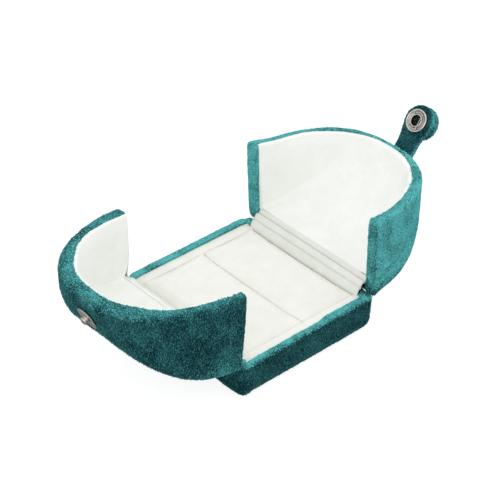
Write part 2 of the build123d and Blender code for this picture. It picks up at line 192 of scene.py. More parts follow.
def velvet(name, dark, light):
    """Short-pile velvet, dark to light teal by its nap attribute: the lie of the pile, and
    painted light and shade such as painted sheen on folds.
    """
    material, tree, spot = new_surface(name)
    # stroked patches, 5 to 10 mm across: darker and lighter clouds
    cloud = add(tree, "TexNoise", Vector=spot, Scale=1 / (8 * mm), Detail=3.5, Roughness=0.62,
                Distortion=0.6)
    # tufts of pile, 0.3 by 0.6 mm, in slanting rows: the real ones are half as large
    slant = add(tree, "Mapping", Vector=spot, Rotation=(0.5, 0.75, 0.4),
                Scale=(1 / (0.3 * mm), 1 / (0.3 * mm), 1 / (0.62 * mm)))
    tuft = add(tree, "TexNoise", Vector=slant, Scale=1.0, Detail=2.0, Roughness=0.6)
    # cross threads of the backing, 0.06 mm apart: a fine grain where the cloth folds over a rim
    thread_pitch = 0.062
    cloth = add(tree, "UVMap", {"uv_map": "cloth"})
    rib = add(tree, "TexWave", {"bands_direction": "X"}, Vector=cloth,
              Scale=math.pi / thread_pitch, Distortion=3.0, Detail=2.0, Detail_Scale=1.5)
    # the nap attribute holds the pile's lie together with painted light and shade, such as
    # painted sheen on folds and painted shade in nooks
    nap = mark(tree, "nap")
    opened = add(tree, "Math", {"operation": "MULTIPLY"}, i0=mark(tree, "fold"), i1=0.7)
    grain = add(tree, "Mix", {"data_type": "FLOAT"}, Factor=opened, i2=tuft,
                i3=rib.outputs["Fac"])
    fine = add(tree, "MapRange", Value=grain, From_Min=0.38, From_Max=0.62, To_Min=-0.85,
               To_Max=0.85)
    wide = add(tree, "MapRange", Value=cloud, From_Min=0.36, From_Max=0.64, To_Min=-0.4,
               To_Max=0.4)
    # painted shade: the ground between the tufts is painted darker than the tufts, as shade
    # inside the pile, and no two tufts are alike
    single = add(tree, "MapRange", Value=mark(tree, "tuft"), To_Min=-0.6, To_Max=1.5)
    mottle = add(tree, "Math", {"operation": "MULTIPLY_ADD"}, i0=fine, i1=0.6, i2=single)
    tone = add(tree, "Math", {"operation": "ADD"}, i0=mottle, i1=wide)
    # a pile that lies over evenly shows less of its depth: the mottling weakens as the nap
    # attribute, painted light included, rises
    depth = add(tree, "MapRange", Value=nap, To_Min=1.4, To_Max=0.6)
    swing = add(tree, "Math", {"operation": "MULTIPLY_ADD"}, i0=tone, i1=depth, i2=1.0)
    pile_lie_and_painted_light = add(tree, "Math", {"operation": "MULTIPLY", "use_clamp": True}, i0=swing, i1=nap)
    # painted light and shade: the colour runs from the dark to the light teal with that
    # attribute
    colour = add(tree, "Mix", {"data_type": "RGBA"}, Factor=pile_lie_and_painted_light, i6=linear(dark),
                 i7=linear(light))
    relief = add(tree, "Bump", Height=grain, Strength=0.6, Distance=0.15 * mm)
    pile = add(tree, "BsdfPrincipled", Base_Color=colour.outputs[2], Roughness=0.95,
               Sheen_Weight=0.35, Sheen_Roughness=0.35, Sheen_Tint=linear("#62CFCB"),
               Normal=relief, Specular_IOR_Level=0.1)
    add(tree, "OutputMaterial", Surface=pile)
    return material


teal_velvet = velvet("teal_cotton_velvet", "#053038", "#74DEDF")


def patch(points, flip=False):
    """Vertices and quads of a grid of points, rows by columns."""
    rows, columns = points.shape[:2]
    first = np.arange(rows * columns).reshape(rows, columns)
    quads = np.stack([first[:-1, :-1], first[:-1, 1:], first[1:, 1:], first[1:, :-1]], -1)
    quads = quads.reshape(-1, 4)
    return points.reshape(-1, 3), quads[:, ::-1] if flip else quads


def cloth_mesh(name, pieces, material, weld=0.03):
    """A welded mesh from grids: points in mm, whether they are turned over, and for velvet the
    cloth coordinates in mm, fold and nap; the nap also holds painted light and shade."""
    points, quads, cloth, fold, nap = [], [], [], [], []
    start = 0
    for grid, flip, *drape in pieces:
        run, at_fold, pile_lie_and_painted_light = drape or ((0, 0), 0.0, 0.5)
        vertices, faces = patch(grid, flip)
        points.append(vertices)
        quads.append(faces + start)
        start += len(vertices)
        cloth.append(np.broadcast_to(run, grid.shape[:2] + (2,)).reshape(-1, 2))
        fold.append(np.broadcast_to(at_fold, grid.shape[:2]).ravel())
        nap.append(np.broadcast_to(pile_lie_and_painted_light, grid.shape[:2]).ravel())
    points, quads = np.concatenate(points) * mm, np.concatenate(quads)
    mesh = bpy.data.meshes.new(name)
    mesh.from_pydata(points.tolist(), [], quads.tolist())
    for label, values in (("fold", fold), ("nap", nap)):
        mesh.attributes.new(label, "FLOAT", "POINT").data.foreach_set(
            "value", np.concatenate(values).astype(np.float32))
    corners = np.zeros(len(mesh.loops), np.int32)
    mesh.loops.foreach_get("vertex_index", corners)
    places = (np.concatenate(cloth) * 0.1)[corners].astype(np.float32)
    mesh.uv_layers.new(name="cloth").data.foreach_set("uv", places.ravel())
    form = bmesh.new()
    form.from_mesh(mesh)
    bmesh.ops.remove_doubles(form, verts=form.verts, dist=weld * mm)
    form.to_mesh(mesh)
    form.free()
    mesh.materials.append(material)
    mesh.polygons.foreach_set("use_smooth", [True] * len(mesh.polygons))
    piece = bpy.data.objects.new(name, mesh)
    bpy.context.scene.collection.objects.link(piece)
    return piece


def ruffle(piece, wave, swell, tuft, height):
    """Lets a cloth surface wander a little: slow waves, and tufts of pile at the surface."""
    mesh = piece.data
    count = len(mesh.vertices)
    places, normals = np.zeros(count * 3, np.float32), np.zeros(count * 3, np.float32)
    mesh.vertices.foreach_get("co", places)
    mesh.vertices.foreach_get("normal", normals)
    places, normals = places.reshape(-1, 3), normals.reshape(-1, 3)
    lift = np.array([swell * noise.noise(Vector(p) / (wave * mm))
                     + height * noise.noise(Vector(p) / (tuft * mm)) for p in places.tolist()])
    mesh.vertices.foreach_set("co", (places + normals * lift[:, None] * mm).ravel())
    mesh.update()


def apply_modifiers(piece):
    """Turns the piece with its modifiers into a plain mesh."""
    graph = bpy.context.evaluated_depsgraph_get()
    mesh = bpy.data.meshes.new_from_object(piece.evaluated_get(graph))
    piece.modifiers.clear()
    piece.data = mesh


def thicken(piece, thickness):
    """Gives a skin its thickness, on the side that its faces turn away from."""
    wall = piece.modifiers.new("thickness", "SOLIDIFY")
    wall.thickness, wall.offset, wall.use_even_offset = thickness * mm, -1, False
    wall.shell_vertex_group = piece.vertex_groups.new(name="inside").name
    apply_modifiers(piece)


def pile_tree():
    """Geometry nodes: leaning tufts of pile, of random length and tone, over outer faces."""
    tree = bpy.data.node_groups.new("velvet_pile", "GeometryNodeTree")
    for name, kind in (("Skin", "Geometry"), ("Density", "Float"), ("Length", "Float"),
                       ("Width", "Float"), ("Upright", "Float"), ("Lay", "Vector"),
                       ("Scatter", "Float"), ("Seed", "Int"), ("Material", "Material")):
        tree.interface.new_socket(name, in_out="INPUT", socket_type="NodeSocket" + kind)
    tree.interface.new_socket("Geometry", in_out="OUTPUT", socket_type="NodeSocketGeometry")
    given = add(tree, "NodeGroupInput").outputs
    inside = add(tree, "GeometryNodeInputNamedAttribute", {"data_type": "FLOAT"}, Name="inside")
    outer = add(tree, "FunctionNodeCompare", {"data_type": "FLOAT", "operation": "LESS_THAN"},
                i0=inside, i1=0.5)
    roots = add(tree, "GeometryNodeDistributePointsOnFaces", {"distribute_method": "RANDOM"},
                Mesh=given["Skin"], Selection=outer, Density=given["Density"],
                Seed=given["Seed"])
    straight = add(tree, "VectorMath", {"operation": "SCALE"}, i0=roots.outputs["Normal"],
                   Scale=given["Upright"])
    into = add(tree, "VectorMath", {"operation": "PROJECT"}, i0=given["Lay"],
               i1=roots.outputs["Normal"])
    along = add(tree, "VectorMath", {"operation": "SUBTRACT"}, i0=given["Lay"], i1=into)
    stray = add(tree, "FunctionNodeRandomValue", {"data_type": "FLOAT_VECTOR"}, i0=(-1, -1, -1),
                i1=(1, 1, 1), Seed=given["Seed"])
    astray = add(tree, "VectorMath", {"operation": "SCALE"}, i0=stray, Scale=given["Scatter"])
    leaning = add(tree, "VectorMath", {"operation": "ADD"}, i0=straight, i1=along)
    pointing = add(tree, "VectorMath", {"operation": "ADD"}, i0=leaning, i1=astray)
    turned_to = add(tree, "FunctionNodeAlignRotationToVector", {"axis": "Z"}, Vector=pointing)
    tuft = add(tree, "GeometryNodeMeshCone", {"fill_type": "NONE"}, Vertices=3, Radius_Top=0.0,
               Radius_Bottom=given["Width"], Depth=given["Length"])
    size = add(tree, "FunctionNodeRandomValue", {"data_type": "FLOAT"}, i2=0.6, i3=1.3, Seed=7)
    tufts = add(tree, "GeometryNodeInstanceOnPoints", Points=roots.outputs["Points"],
                Instance=tuft.outputs["Mesh"], Rotation=turned_to, Scale=size.outputs[1])
    shade = add(tree, "FunctionNodeRandomValue", {"data_type": "FLOAT"}, i2=0.15, i3=1.0,
                Seed=11)
    marked = add(tree, "GeometryNodeStoreNamedAttribute",
                 {"data_type": "FLOAT", "domain": "INSTANCE"}, Geometry=tufts, Name="tuft",
                 Value=shade.outputs[1])
    joined = add(tree, "GeometryNodeJoinGeometry")
    tree.links.new(marked.outputs[0], joined.inputs[0])
    tree.links.new(given["Skin"], joined.inputs[0])
    real = add(tree, "GeometryNodeRealizeInstances", Geometry=joined)
    done = add(tree, "GeometryNodeSetMaterial", Geometry=real, Material=given["Material"])
    add(tree, "NodeGroupOutput", Geometry=done)
    return tree


velvet_pile = pile_tree()


def grow_pile(piece, material, lay, seed, density=4.6, length=0.48):
    """Covers the outer faces of a velvet skin with tufts that lean along lay."""
    values = {"Density": density / mm ** 2, "Length": length * mm, "Width": 0.15 * mm,
              "Upright": 0.24, "Lay": lay, "Scatter": 0.3, "Seed": seed, "Material": material}
    nap = piece.modifiers.new("pile", "NODES")
    nap.node_group = velvet_pile
    for socket in velvet_pile.interface.items_tree:
        if socket.in_out == "INPUT" and socket.name in values:
            nap[socket.identifier] = values[socket.name]
    apply_modifiers(piece)


hands = {"left": -1, "right": 1}
base_half_x, base_half_y, base_top = 28.7, 31.0, 14.0
foot, edge_round, inner_round = 3.9, 1.05, 0.6
underside = 0.16                # the backing's height, the pile below it is pressed flat
hinge_gap = 26.6                # half length of the gap for a hinge


def unit(values):
    """The values kept between 0 and 1."""
    return np.clip(values, 0, 1)


def smooth(values):
    """The values kept between 0 and 1, leaving 0 and reaching 1 gently."""
    share = unit(values)
    return share * share * (3 - 2 * share)


def plan_ring(offset, corner):
    """Points round the base's outline moved in by offset (a number or one per point)."""
    bend = np.linspace(0, math.pi / 2, 13)[1:-1]
    middles, normals = [], []
    for quarter in range(4):
        turned = quarter * math.pi / 2
        way = np.array([round(math.cos(turned)), round(math.sin(turned))])
        across = np.array([-way[1], way[0]])
        middles += [way + np.linspace(-1, 1, 100)[:, None] * across,
                    np.broadcast_to(way + across, (len(bend), 2))]
        normals += [np.broadcast_to(way, (100, 2)),
                    np.stack([np.cos(bend + turned), np.sin(bend + turned)], 1)]
    middles, normals = np.concatenate(middles), np.concatenate(normals)
    middles, normals = np.append(middles, middles[:1], 0), np.append(normals, normals[:1], 0)
    offset = np.reshape(offset, (-1, 1))
    turn = np.maximum(corner - offset, 0.35)
    return middles * (np.array([base_half_x, base_half_y]) - offset - turn) + normals * turn


def arc(centre, radius, start, end, count):
    """Points (offset, height) on a part of a circle, angles in degrees."""
    turn = np.radians(np.linspace(start, end, count))
    return [(centre[0] + radius * math.cos(t), centre[1] + radius * math.sin(t)) for t in turn]


def band_width(ring):
    """Width of the velvet turned in on top of the base, round the outline."""
    x, y = ring[:, 0], ring[:, 1]
    near = 2.1 + 0.7 * smooth((x - 4.5) / 4.0)
    return np.where(np.abs(x) > 26.2, 3.6, np.where(y < 0, near, 2.7))


# each point of the profile: offset, share of the band's width that is added, height
base_profile = ([(9.45, 0, 0.9), (9.45, 0, 0.35), (9.2, 0, 0.2)]
                + [(o, 0, underside) for o in np.arange(8.6, foot + 1.0, -0.6)]
                + [(o, 0, z + underside) for o, z in arc((foot, foot), foot, 270, 180, 12)]
                + [(0.0, 0, z) for z in np.arange(foot + 0.6, base_top - edge_round, 0.5)]
                + [(o, 0, z) for o, z in arc((edge_round, base_top - edge_round), edge_round,
                                             180, 90, 7)]
                + [(edge_round - s * (edge_round + inner_round), s, base_top + 0.05)
                   for s in (0.3, 0.6, 0.85)]
                + [(o, 1, z) for o, z in arc((-inner_round, base_top - inner_round),
                                             inner_round, 90, 0, 5)]
                + [(0.0, 1, 13.12)])
outline = plan_ring(0.0, 2.4)
rows, widths = [], band_width(outline)
# the foot is rounder at the near side and tighter at the left one
foot_share = (1 + 0.2 * unit((-outline[:, 1] - 26) / 4)
              - 0.35 * unit((-outline[:, 0] - 25) / 3))
for fixed, share, height in base_profile:
    # the corners are tight at the rim and widen towards the foot
    low = min(max((base_top - height) / 9, 0), 1)
    in_foot = foot_share if max(height, fixed) < foot + 0.1 else 1.0
    ring = plan_ring(fixed * in_foot + share * widths, 2.3 + 1.3 * low)
    x, y = ring[:, 0], ring[:, 1]
    near_hinge = smooth((np.abs(x) - 23.6) / 2.4)
    z = underside + (height - underside) * in_foot
    z = z * (1 - 0.035 * near_hinge * (height > 6) * min((height - 6) / 5, 1.0))
    # in the gap for a hinge the cloth is pulled back to the outer wall
    in_gap = (np.abs(y) < hinge_gap) & (np.abs(x) > 24) & (height > 10)
    x = np.where(in_gap, np.sign(x) * np.maximum(np.abs(x), base_half_x - 1.1), x)
    # the far rim is fuller
    full = unit((y - 26) / 3) * unit((height - 9) / 4) * (1 - near_hinge)
    rows.append(np.stack([x, y + 0.35 * full, z + 0.22 * full], 1))
base_points = np.array(rows)
around = np.concatenate([[0], np.cumsum(np.linalg.norm(
    np.diff(base_points[20], axis=0), axis=1))])
down = np.concatenate([[0], np.cumsum(np.linalg.norm(
    np.diff(base_points[:, 150], axis=0), axis=1))])
run = np.stack(np.broadcast_arrays(around[None, :], down[:, None]), -1)
heights = np.array([height for _, _, height in base_profile])
at_rim = unit(1 - np.abs(heights - base_top) / 1.2)
# painted light: the rim band is painted far lighter than the sides, and painted sheen lightens
# a band round the foot
pile_lie_and_painted_light = 0.12 + 0.88 * at_rim + 0.08 * np.exp(-((heights - 2.0) / 1.6) ** 2)
# painted shade: in the nook beside each hinge the velvet is painted darker
hinge_nook_shade = unit((np.abs(base_points[..., 0]) - 26.0) / 1.6) * at_rim[:, None]
pile_lie_and_painted_light = pile_lie_and_painted_light[:, None] * (1 - 0.5 * hinge_nook_shade)
base_velvet = cloth_mesh("base_velvet", [(base_points, False, run, at_rim[:, None], pile_lie_and_painted_light)],
                         teal_velvet)
ruffle(base_velvet, 4.0, 0.14, 0.6, 0.07)
thicken(base_velvet, 0.7)
grow_pile(base_velvet, teal_velvet, (0.25, 0.1, -0.8), 3)
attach(base_velvet, "base")
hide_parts("base_cover")

# ---- base: underside panel ------------------------------------------------------------
# A card covered with the same velvet, glued into the opening that the turned-in cover
# leaves. Its pile is pressed flat by the weight of the box.
paint(teal_velvet, "base_bottom_panel")

# ---- base: white tray lip and the card under the pads ---------------------------------
# A thin moulded frame wrapped in the white cloth of the pads. Its lip shows between the
# velvet rim and the pads at the near side; under the hinge strips it dips.


def flock(name, shade, bright, grain, sheen):
    """White flocking: short nylon fibres on glue, soft, with faint clouds and a fine nap."""
    material, tree, spot = new_surface(name)
    cloud = add(tree, "TexNoise", Vector=spot, Scale=1 / (7 * mm), Detail=3.0, Roughness=0.55)
    nap = add(tree, "TexNoise", Vector=spot, Scale=1 / (grain * mm), Detail=2.0, Roughness=0.7)
    mixed = add(tree, "Mix", {"data_type": "FLOAT"}, Factor=0.55, i2=cloud, i3=nap)
    tone = add(tree, "MapRange", Value=mixed, From_Min=0.35, From_Max=0.65)
    colour = add(tree, "Mix", {"data_type": "RGBA"}, Factor=tone, i6=linear(shade),
                 i7=linear(bright))
    relief = add(tree, "Bump", Height=nap, Strength=0.35, Distance=0.08 * mm)
    pile = add(tree, "BsdfPrincipled", Base_Color=colour.outputs[2], Roughness=0.9,
               Sheen_Weight=sheen, Sheen_Roughness=0.5, Sheen_Tint=linear("#FFFFFF"),
               Normal=relief, Specular_IOR_Level=0.2)
    add(tree, "OutputMaterial", Surface=pile)
    return material


white_flock = flock("white_nylon_flock", "#EEF0EB", "#F8F9F6", 0.45, 0.1)
pad_cloth = flock("white_brushed_pad_cloth", "#EDEDE6", "#F6F6F0", 0.6, 0.1)
paint(white_flock, "lining_tray", "pad_board")
tray_wall, tray_inner_x, tray_inner_y = 3.65, 24.7, 25.6
lip_top, lip_far, lip_under = 13.62, 13.25, 13.03
# each point: share of the way from the outer edge to the inner one, height
lip_profile = ([(0.0, lip_under), (0.0, 13.4), (0.1, lip_top - 0.04), (0.3, lip_top),
                (0.6, lip_top), (0.86, lip_top)]
               + [(0.86 + 0.14 * math.sin(t), lip_top - 0.35 * (1 - math.cos(t)))
                  for t in np.radians((30, 60, 90))]
               + [(1.0, z) for z in (12.6, 11.0, 7.0, 3.2)])
rows = []
dip = 1.8                       # the frame lies lower where the hinge cloth passes over it
outer_ring = plan_ring(np.maximum(widths - 0.4, 1.7), 2.4)
wall_ring = plan_ring(tray_wall, 2.4)
for share, height in lip_profile + [(-1, 3.2), (-1, lip_under), (0.0, lip_under)]:
    ring = wall_ring if share < 0 else outer_ring
    share = max(share, 0)
    passing = (np.abs(ring[:, 0]) > 24.4) & (np.abs(ring[:, 1]) < 26.8)
    x = np.where(passing, np.clip(ring[:, 0], -25.05, 25.05), ring[:, 0])
    y = ring[:, 1]
    inner_x = np.clip(x, -tray_inner_x, tray_inner_x)
    inner_y = np.clip(y, -tray_inner_y, tray_inner_y - 0.7)
    # the far lip lies flush with the pads
    beside_hinge = unit((np.abs(x) - 22.6) / 2.0)
    z = (np.where(ring[:, 1] > 20, min(height, lip_far), height) - dip * passing * (height > 12)
         - max(height - lip_under - 0.1, 0) * beside_hinge)
    rows.append(np.stack([x + (inner_x - x) * share, y + (inner_y - y) * share, z + 0 * x], 1))
tray_lip = cloth_mesh("tray_lip", [(np.array(rows), False)], pad_cloth, 0.01)
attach(tray_lip, "base")
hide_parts("lining_tray")

# ---- base: ring pads ------------------------------------------------------------------
# Two blocks of soft foam, each in its own brushed white cloth, pressed side by side into
# the tray with a slit between them. The foam swells a little at the top.
pad_low, pad_edge, pad_half_y = 4.3, 13.05, 25.45
soft_scale = 10                 # the cloth is simulated ten times larger


def pad_block(name, x_low, x_high, round_low, round_high):
    """A pad before it swells: a block whose upper edges are rounded, one radius a side."""
    count_x, count_y = int((x_high - x_low) / 0.9), int(2 * pad_half_y / 0.9)
    u, v = np.linspace(-1, 1, count_x), np.linspace(-1, 1, count_y)
    ring = np.concatenate([
        np.stack([u, -np.ones_like(u)], 1), np.stack([np.ones_like(v), v], 1)[1:],
        np.stack([-u, np.ones_like(u)], 1)[1:], np.stack([-np.ones_like(v), -v], 1)[1:]])

    def rounding(points):
        """Radii of the upper edges, at low x, high x and the ends. The slit closes in front."""
        y = points[..., 1]
        closing = np.clip((y + 1) * pad_half_y / 6 - 0.3, 0.12, 1)
        ends = np.where(y > 0, 0.1, 0.7)
        return (round_low * (closing if x_low > 0 else 1),
                round_high * (closing if x_low < 0 else 1), ends)

    def spread(points, tuck):
        """Places on the pad, given as -1..1 across it, moved in at its edges by tuck radii."""
        at_low, at_high, ends = rounding(points)
        low, high = x_low + at_low * tuck, x_high - at_high * tuck
        return np.stack([low + (high - low) * (points[..., 0] + 1) / 2,
                         points[..., 1] * (pad_half_y - ends * tuck)], -1)

    at_low, at_high, edge_round = rounding(ring)
    near_low = unit((-ring[:, 0] - 0.9) / 0.1) ** 2
    near_high = unit((ring[:, 0] - 0.9) / 0.1) ** 2
    radius = edge_round + (at_low - edge_round) * near_low + (at_high - edge_round) * near_high

    rows = [np.column_stack([spread(ring, 0), np.full(len(ring), z)])
            for z in (pad_low, 6.0, 8.0, 9.6)]
    for turn in np.radians(np.linspace(0, 90, 7)):
        rows.append(np.column_stack([spread(ring, 1 - math.cos(turn)),
                                     pad_edge - radius * (1 - math.sin(turn))]))
    flat = np.stack(np.meshgrid(u, v), -1)
    top = np.concatenate([spread(flat, 1), np.full(flat.shape[:2] + (1,), pad_edge)], -1)
    bottom = np.concatenate([spread(flat, 0), np.full(flat.shape[:2] + (1,), pad_low)], -1)
    return cloth_mesh(name, [(np.array(rows), False), (top, False), (bottom, True)], pad_cloth,
                      0.05)


def swell(pad, x_low, x_high):
    """Blows the pad up as cloth over foam, and keeps it inside the tray."""
    pad.data.transform(Matrix.Scale(soft_scale, 4))
    skin = pad.modifiers.new("skin", "REMESH")
    skin.mode, skin.voxel_size, skin.use_smooth_shade = "VOXEL", 0.006, True
    apply_modifiers(pad)
    mesh = pad.data
    start = np.array([v.co for v in mesh.vertices])
    held = pad.vertex_groups.new(name="held")
    low = [k for k, p in enumerate(start) if p[2] < (pad_low + 1.5) * mm * soft_scale]
    held.add(low, 1.0, "REPLACE")
    cloth = pad.modifiers.new("cloth", "CLOTH")
    cloth.settings.quality = 4
    cloth.settings.mass = 0.3
    cloth.settings.use_pressure = True
    cloth.settings.uniform_pressure_force = 3.0
    cloth.settings.effector_weights.gravity = 0
    cloth.settings.vertex_group_mass = "held"
    cloth.collision_settings.use_self_collision = False
    scene = bpy.context.scene
    for number in range(1, 15):
        scene.frame_set(number)
    graph = bpy.context.evaluated_depsgraph_get()
    blown = pad.evaluated_get(graph).data
    moved = np.array([v.co for v in blown.vertices]) - start
    pad.modifiers.clear()
    scene.frame_set(1)
    size = mm * soft_scale
    limit = np.array([0.1, 0.1, 1.1]) * size
    moved = limit * np.tanh(moved / limit)
    place = start + moved
    place[:, 0] = np.clip(place[:, 0], (x_low - 0.05) * size, (x_high + 0.05) * size)
    place[:, 1] = np.clip(place[:, 1], -(pad_half_y + 0.1) * size, (pad_half_y + 0.1) * size)
    place[:, 2] = np.clip(place[:, 2], pad_low * size, 13.85 * size)
    mesh.vertices.foreach_set("co", (place / soft_scale).astype(np.float32).ravel())
    mesh.update()
    relax = pad.modifiers.new("relax", "SMOOTH")
    relax.factor, relax.iterations = 0.5, 3
    finer = pad.modifiers.new("finer", "SUBSURF")
    finer.levels = finer.render_levels = 1
    apply_modifiers(pad)


slit = 2.3
for side, x_low, x_high, round_low, round_high in (
        ("left", -24.15, slit - 0.06, 2.4, 0.9), ("right", slit + 0.06, 24.5, 1.3, 0.7)):
    pad = pad_block(f"ring_pad_cloth_{side}", x_low, x_high, round_low, round_high)
    swell(pad, x_low, x_high)
    ruffle(pad, 9.0, 0.12, 0.8, 0.03)
    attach(pad, "base")
    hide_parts(f"ring_pad_{side}")

# ---- hinges: leaves and pins ----------------------------------------------------------
# Two stamped leaves of zinc-plated steel with rolled knuckles, let into the shells, and a
# drawn pin through them. The white strips cover them.


def plated_metal(name, code, rough_low, rough_high, streak):
    """Plated or drawn metal: fine streaks along its length, uneven gloss, recesses painted dark
    as shade.
    """
    material, tree, spot = new_surface(name)
    pull = add(tree, "Mapping", Vector=spot,
               Scale=(1 / (streak * mm), 1 / (8 * streak * mm), 1 / (streak * mm)))
    lines = add(tree, "TexNoise", Vector=pull, Scale=1.0, Detail=3.0)
    gloss = add(tree, "MapRange", Value=lines, From_Min=0.3, From_Max=0.7, To_Min=rough_low,
                To_Max=rough_high)
    relief = add(tree, "Bump", Height=lines, Strength=0.15, Distance=0.02 * mm)
    # painted shade: the colour darkens to a dark brown where the attribute fold marks a recess
    colour = add(tree, "Mix", {"data_type": "RGBA"}, Factor=mark(tree, "fold"),
                 i6=linear(code), i7=linear("#1E1A15"))
    skin = add(tree, "BsdfPrincipled", Base_Color=colour.outputs[2], Metallic=1.0,
               Roughness=gloss, Normal=relief)
    add(tree, "OutputMaterial", Surface=skin)
    return material


zinc_steel = plated_metal("zinc_plated_steel", "#B9BCC0", 0.28, 0.45, 0.3)
drawn_wire = plated_metal("drawn_spring_wire", "#C9C4B8", 0.15, 0.3, 0.1)
bright_nickel = plated_metal("bright_nickel_plate", "#C9C5BD", 0.10, 0.22, 0.5)
for side in ("left", "right"):
    paint(zinc_steel, f"hinge_base_leaf_{side}", f"hinge_door_leaf_{side}")
    paint(drawn_wire, f"hinge_pin_{side}")
paint(drawn_wire, "snap_spring")
paint(bright_nickel, "stud_washer")

# ---- doors: velvet covers -------------------------------------------------------------
# Each half dome is a moulded shell with velvet glued over it and turned in at the rim and
# at the ends of its cheeks. The rim is padded by the fold of the cloth, so it is round.
hinge_x, hinge_z = 27.7, 14.8
reach_y, reach_x, dome_top = 31.0, 28.7, 38.1
side_power, top_power = 2.55, 2.13
back_side_power, back_top_power = 2.04, 2.27
crease, crease_growth = 2.4, 6.2
rim_z = hinge_z + hinge_x - 0.08
full_depth = 28                 # of a cheek, from the rim to the hinge


def dome_section(angle, inset):
    """Half widths, corner and height of the dome's section at a level angle."""
    share = np.sin(angle) ** (2 / top_power)
    along = (reach_y - inset) * np.cos(angle) ** (2 / side_power)
    across = (reach_x - inset) * np.maximum(1 - share ** back_top_power, 0) ** (
        1 / back_side_power)
    shorter = 0.98 * np.minimum(along, across)
    tight = np.maximum(crease - inset, 0.8)
    turn = np.minimum(tight + (shorter - tight) * share ** crease_growth, shorter)
    return along, across, turn, share * (dome_top - inset)


def along_section(angle, run):
    """Where a run down from the rim lies: shares of the cheek, the corner and the back."""
    along, across, turn, _ = dome_section(angle, 0.0)
    cheek, bend, back = across - turn, turn * math.pi / 2, along - turn
    tiny = 1e-9
    return (unit(run / (cheek + tiny)), unit((run - cheek) / (bend + tiny)),
            unit((run - cheek - bend) / (back + tiny)))


def section_length(angle):
    """Length of the section from the rim to the middle of the back."""
    along, across, turn, _ = dome_section(angle, 0.0)
    return across - turn + turn * math.pi / 2 + along - turn


def on_dome(angle, level, shares, inset):
    """(x beyond the hinge axis, y, depth below the rim plane) on the dome moved in by inset."""
    along, across, turn, height = dome_section(angle, inset)
    cheek, bend, back = shares
    theta = bend * math.pi / 2
    depth = (across - turn) * cheek + turn * np.sin(theta)
    y = (along - turn * (1 - np.cos(theta))) - (along - turn) * back
    return np.where(level < 0, level, height), y, depth


def rounded(inset, depth, end, thickness, radius, inner):
    """Rounds the edges of a wall: each point moves onto a ball rolled along its edges."""
    radius, inner = np.minimum(radius, 0.6 * thickness), np.minimum(inner, 0.35 * thickness)
    ball = np.where(inset <= radius, radius, inner)
    near_i = np.clip(inset, radius, thickness - inner)
    near_d, near_e = np.maximum(depth, ball), np.maximum(end, ball)
    gap = np.stack(np.broadcast_arrays(inset - near_i, depth - near_d, end - near_e))
    length = np.maximum(np.sqrt((gap ** 2).sum(0)), 1e-9)
    factor = np.minimum(ball / length, 1)
    return near_i + gap[0] * factor, near_d + gap[1] * factor, near_e + gap[2] * factor


def steps(fine, growth, coarse, total):
    """Distances from 0 to total: fine steps first, growing to coarse ones."""
    places, step = [0.0], fine
    while places[-1] + step < total - 0.4 * step:
        places.append(places[-1] + step)
        step = min(step * growth, coarse)
    return np.array(places + [total])


def arch_angles(first, coarse):
    """Level angles and levels from the hinge end to the tip, evenly spaced on the rim arch."""
    dense = np.concatenate([np.linspace(0, math.pi / 2 - 0.02, 4000),
                            math.pi / 2 - 0.02 * np.linspace(1, 0, 2000) ** 2.5])
    along, _, _, height = dome_section(dense, 0.0)
    length = np.concatenate([[0], np.cumsum(np.hypot(np.diff(along), np.diff(height)))])
    wanted = steps(0.22, 1.3, coarse, length[-1] - first) + first
    angle = np.where(wanted < 0, 0, np.interp(wanted, length, dense))
    _, _, _, level = dome_section(angle, 0.0)
    return angle, np.where(wanted < 0, wanted, level), wanted - first


def eased(turn, values):
    """A smooth curve through values that are evenly spaced over the arch, 0 to 180 degrees."""
    place = np.clip(turn / math.pi, 0, 0.99999) * (len(values) - 1)
    first = place.astype(int)
    values = np.array(values)
    return values[first] + (values[first + 1] - values[first]) * smooth(place - first)


